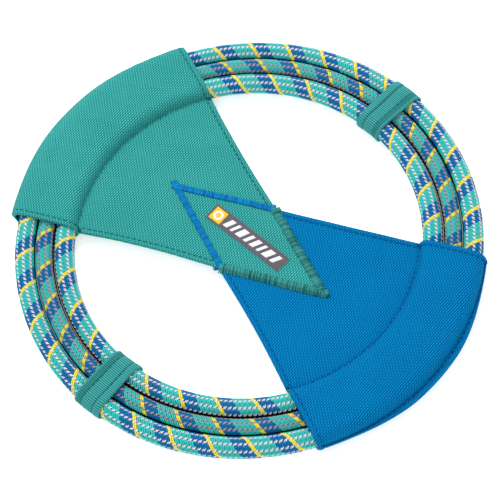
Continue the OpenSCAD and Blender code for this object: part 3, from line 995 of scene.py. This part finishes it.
def solid(shape, flat, base, height, slot, cell):
    """Turns a grid of flat label points into a closed slab that lies on the cloth."""
    x, y = label_place(flat)
    ground = MID + HIGH + warp(x, y)
    edge = np.zeros(x.shape, bool)
    edge[[0, -1]] = edge[:, [0, -1]] = True
    upper = np.stack([x, y, ground + base + height - 0.03 * edge], -1)
    lower = np.stack([x, y, ground + base], -1)
    low, high = flat.min((0, 1)), flat.max((0, 1))
    share = (flat - low) / (high - low)
    bake = np.array(cell[:2]) + share * (np.array(cell[2:]) - np.array(cell[:2]))
    shape.slab(upper, lower, flat, bake, bake * 0.999, slot)


def label_place(flat):
    """Label points, along it and across it, in the row's frame."""
    turn = math.radians(LABEL_TURN)
    x = LABEL_AT[0] + flat[..., 0] * math.cos(turn) - flat[..., 1] * math.sin(turn)
    y = LABEL_AT[1] + flat[..., 0] * math.sin(turn) + flat[..., 1] * math.cos(turn)
    return x, y


low, high = box_mm("label")
LABEL_AT = (low + high) / 2
LABEL_THICK = high[2] - low[2]
LABEL_TURN = -1.5
LABEL_SIZE = (49.0, 9.5)
LABEL_MATERIALS = [label_grey, label_amber, label_white, label_edge]
GREY, AMBER, WHITE, EDGE = range(4)
BORDER = 0.35
SQUARE, SQUARE_INSET = 7.4, 1.1
RING_RADII = (1.5, 2.6)
BAR_WIDTHS = (2.8, 1.7, 3.6, 2.1, 2.8, 1.7, 3.6, 2.4)
BAR_GAP, BAR_LEAN, BAR_TALL = 1.9, 1.2, 2.6


def rect(x0, y0, x1, y1):
    return [(x0, y0), (x1, y0), (x1, y1), (x0, y1)]


def label():
    """A grey patch with a border, an amber square that holds a plain ring, and plain slanted bars."""
    shape = Shape()
    x, y = np.array(LABEL_SIZE) / 2
    top = LABEL_THICK - 0.2
    plate(shape, rect(-x, -y, x, y), 0.0, LABEL_THICK - 0.12, GREY, (0, 0, 1, 0.19))
    strips = (
        (-x, -y, x, -y + BORDER),
        (-x, y - BORDER, x, y),
        (-x, -y, -x + BORDER, y),
        (x - BORDER, -y, x, y),
    )
    for strip in strips:
        plate(shape, rect(*strip), top, 0.16, EDGE, (0, 0.2, 1, 0.22))
    centre = np.array([-x + SQUARE_INSET + SQUARE / 2, 0.0])
    square = rect(*(centre - SQUARE / 2), *(centre + SQUARE / 2))
    plate(shape, square, top, 0.14, AMBER, (0, 0.25, 0.2, 0.45))
    around = circle(np.linspace(0, TURN, 49))
    ring_flat = np.stack([centre + r * around for r in RING_RADII], 1)
    solid(shape, ring_flat, LABEL_THICK - 0.12, 0.12, WHITE, (0.25, 0.25, 0.45, 0.45))
    start = centre[0] + SQUARE / 2 + 2.6
    for i, wide in enumerate(BAR_WIDTHS):
        foot = [(start + x - BAR_LEAN, -BAR_TALL) for x in (0, wide)]
        head = [(start + x + BAR_LEAN, BAR_TALL) for x in (wide, 0)]
        plate(shape, foot + head, top, 0.16, WHITE, (0.02 + 0.12 * i, 0.5, 0.12 + 0.12 * i, 0.9))
        start += wide + BAR_GAP
    shape.make("woven_label", LABEL_MATERIALS, "ring", "label_cloth", ["label"])


label()

# ---- keeper bands ----

BAND_IN = ROPE_R + 0.3
RIB = 1.0
# Across the tape: place, height over its inside and how much of the ribs shows
TAPE_EDGE = [
    (0, 0.45, 0), (0.15, 0.8, 0), (0.4, 1.02, 0), (0.8, 1.1, 0), (1.2, 0.95, 0), (1.6, 0.82, 0),
    (2.2, 0.8, 0), (2.8, 0.84, 0), (3.3, 0.9, 0), (3.6, 0.9, 0), (3.85, 0.85, 0), (4.05, 0.74, 0),
]
TAPE_RIBBED = [
    (4.25, 0.62, 0), (4.5, 0.6, 0), (4.8, 0.7, 0.5), (5.2, 0.8, 1), (5.9, 0.86, 1), (6.8, 0.88, 1),
    (7.7, 0.9, 1), (8.6, 0.88, 1), (9.5, 0.86, 1), (10.2, 0.8, 1), (10.6, 0.72, 0.5), (10.9, 0.6, 0),
]
TAPE_FOLDED = [
    (11.15, 0.55, 0), (11.4, 0.68, 0), (11.65, 0.95, 0), (11.9, 1.08, 0), (12.4, 1.16, 0), (13.0, 1.16, 0),
    (13.7, 1.12, 0), (14.3, 1.08, 0), (14.8, 1.02, 0), (15.15, 0.9, 0), (15.35, 0.7, 0), (15.5, 0.45, 0),
]
TAPE = np.array(TAPE_EDGE + TAPE_RIBBED + TAPE_FOLDED)
TAPE_GROOVES = (4.4, 11.05)


def band_loop():
    """Points once round the three ropes, as radius and height, with their outward normals and the distance
    round. It starts over the inner rope."""
    flat, bend = OUTER_C - INNER_C, math.pi * BAND_IN
    total = 2 * (flat + bend)
    s = np.linspace(0, total, round(total / RIB) * 8 + 1)[:-1]
    round_edges = np.clip(s - flat, 0, bend) + np.clip(s - 2 * flat - bend, 0, bend)
    angle = math.pi / 2 - round_edges / BAND_IN
    centre = INNER_C + np.clip(s, 0, flat) - np.clip(s - flat - bend, 0, flat)
    normal = circle(angle)
    return together(centre, 0 * s) + BAND_IN * normal, normal, s, total


def keeper_band(side, angle):
    """A loop of ribbed tape round the ropes, with its two rows of stitches in the grooves."""
    point, normal, s, total = band_loop()
    across, height, ribbed = TAPE.T
    on_side = smooth_step(np.abs(normal[:, 0]), 0.3, 0.95)[:, None]
    soft = 0.85 + (height - 0.85) * (1 - 0.5 * on_side)
    ribs = 0.06 * np.sin(TURN * s[:, None] / RIB) * (0.4 + 0.6 * ribbed)
    sag = 0.12 * np.sin(TURN * s[:, None] / total * 3 + across / 4)

    def bent(points, place):
        """Bends the tape round the ring. place is how far across the tape each column lies."""
        r = points[..., 0]
        half = 7.2 + 0.6 * (r - INNER_C + ROPE_R) / (OUTER_C - INNER_C + 2 * ROPE_R)
        turn = math.radians(angle) + (place / across[-1] * 2 - 1) * half / r
        z = np.maximum(MID + points[..., 1], FLOOR_GAP)
        return np.stack([r * np.cos(turn), r * np.sin(turn), z], -1)

    upper = bent(point[:, None] + (soft + ribs + sag)[..., None] * normal[:, None], across)
    lower = bent(np.repeat(point[:, None], len(across), 1), across)[:, ::-1]
    section_across = np.concatenate([across, across[::-1], across[:1]])
    length = np.append(s, total)
    cloth = together(length[:, None], section_across)
    turn = np.linspace(0, 1, 2 * len(across) + 1)
    bake = together(length[:, None] / total, turn)
    shape = Shape()
    shape.grid(np.concatenate([upper, lower], 1), cloth, bake, closed=True, looped=True)
    node, body = f"{side}_keeper_band", f"{side}_band"
    piece = shape.make(f"{side}_band_tape", [band_cloth], body, "green_fabric", [node])
    rows = Shape()
    places = cells(80, 4)
    for groove in TAPE_GROOVES:
        column = np.full(point.shape[:1], groove)
        line = bent(point + np.interp(groove, across, height) * normal, column)
        at = math.radians(angle)
        outward = together(normal[:, 0] * math.cos(at), normal[:, 0] * math.sin(at), normal[:, 1])
        for over in (line[:, 2] > MID + BAND_IN, line[:, 2] < MID - BAND_IN):
            stitches(rows, line[over], outward[over], places, BAND_PROUD)
    node = f"{side}_band_stitches"
    # The band stitches take the thread darkened as painted shade of their valleys
    rows.make(f"{side}_band_sewing", [threads["stitch_shade_green"]], body, "green_thread", [node])


for side in ("left", "right"):
    low, high = box_mm(f"{side}_keeper_band")
    middle = (low + high) / 2
    keeper_band(side, math.degrees(math.atan2(middle[1], middle[0])))

# ---- camera, light and floor ----


def area_light(name, place, size, power):
    """A square lamp at place, in metres, that faces the ring."""
    data = bpy.data.lights.new(name, "AREA")
    data.size = size
    data.energy = power
    lamp = in_scene(name, data)
    lamp.location = place
    lamp.rotation_euler = (-Vector(place)).to_track_quat("-Z", "Y").to_euler()


def camera():
    """Looks down on the ring from the blue wing's near side, turned a little, as in the photo."""
    turn, tilt, roll, distance = math.radians(49.6), math.radians(61.1), math.radians(-9.87), 0.95
    away = Vector((math.sin(turn) * math.cos(tilt), -math.cos(turn) * math.cos(tilt), math.sin(tilt)))
    level = Vector((math.cos(turn), math.sin(turn), 0))
    upright = away.cross(level)
    right = math.cos(roll) * level + math.sin(roll) * upright
    up = away.cross(right)
    data = bpy.data.cameras.new("camera")
    data.sensor_width = 36
    data.lens = 135.6
    data.shift_x, data.shift_y = 0.0034, -0.0125
    view = in_scene("camera", data)
    place = Vector((0, 0, (MID - ROPE_R) * MM)) + distance * away
    view.matrix_world = Matrix.Translation(place) @ Matrix((right, up, away)).transposed().to_4x4()
    scene.camera = view


def floor():
    far = 6.0
    corners = [(-far, -far, 0), (far, -far, 0), (far, far, 0), (-far, far, 0)]
    mesh = bpy.data.meshes.new("floor")
    mesh.from_pydata(corners, [], [(0, 1, 2, 3)])
    m = Nodes("floor")
    m.finish((252, 252, 252), 0.9, m.noise(0.02), 0.01, 0.1)
    m.shader.inputs["Emission Color"].default_value = (1, 1, 1, 1)
    m.shader.inputs["Emission Strength"].default_value = 0.45
    mesh.materials.append(m.material)
    in_scene("floor", mesh)


camera()
floor()
area_light("key", (-0.9, 0.5, 1.3), 0.9, 23.5)
area_light("fill", (0.9, -0.9, 1.1), 1.4, 6)
world = bpy.data.worlds.new("studio")
world.use_nodes = True
sky = world.node_tree.nodes["Background"]
sky.inputs[0].default_value = (1, 1, 1, 1)
sky.inputs[1].default_value = 0.75
scene.world = world
scene.view_settings.view_transform = "Standard"

for name in ropes:
    for node, material in ((f"{name}_rope_core", core_fibre), (f"{name}_rope_splice", splice_tape)):
        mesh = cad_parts[node].data
        mesh.materials.clear()
        mesh.materials.append(material)
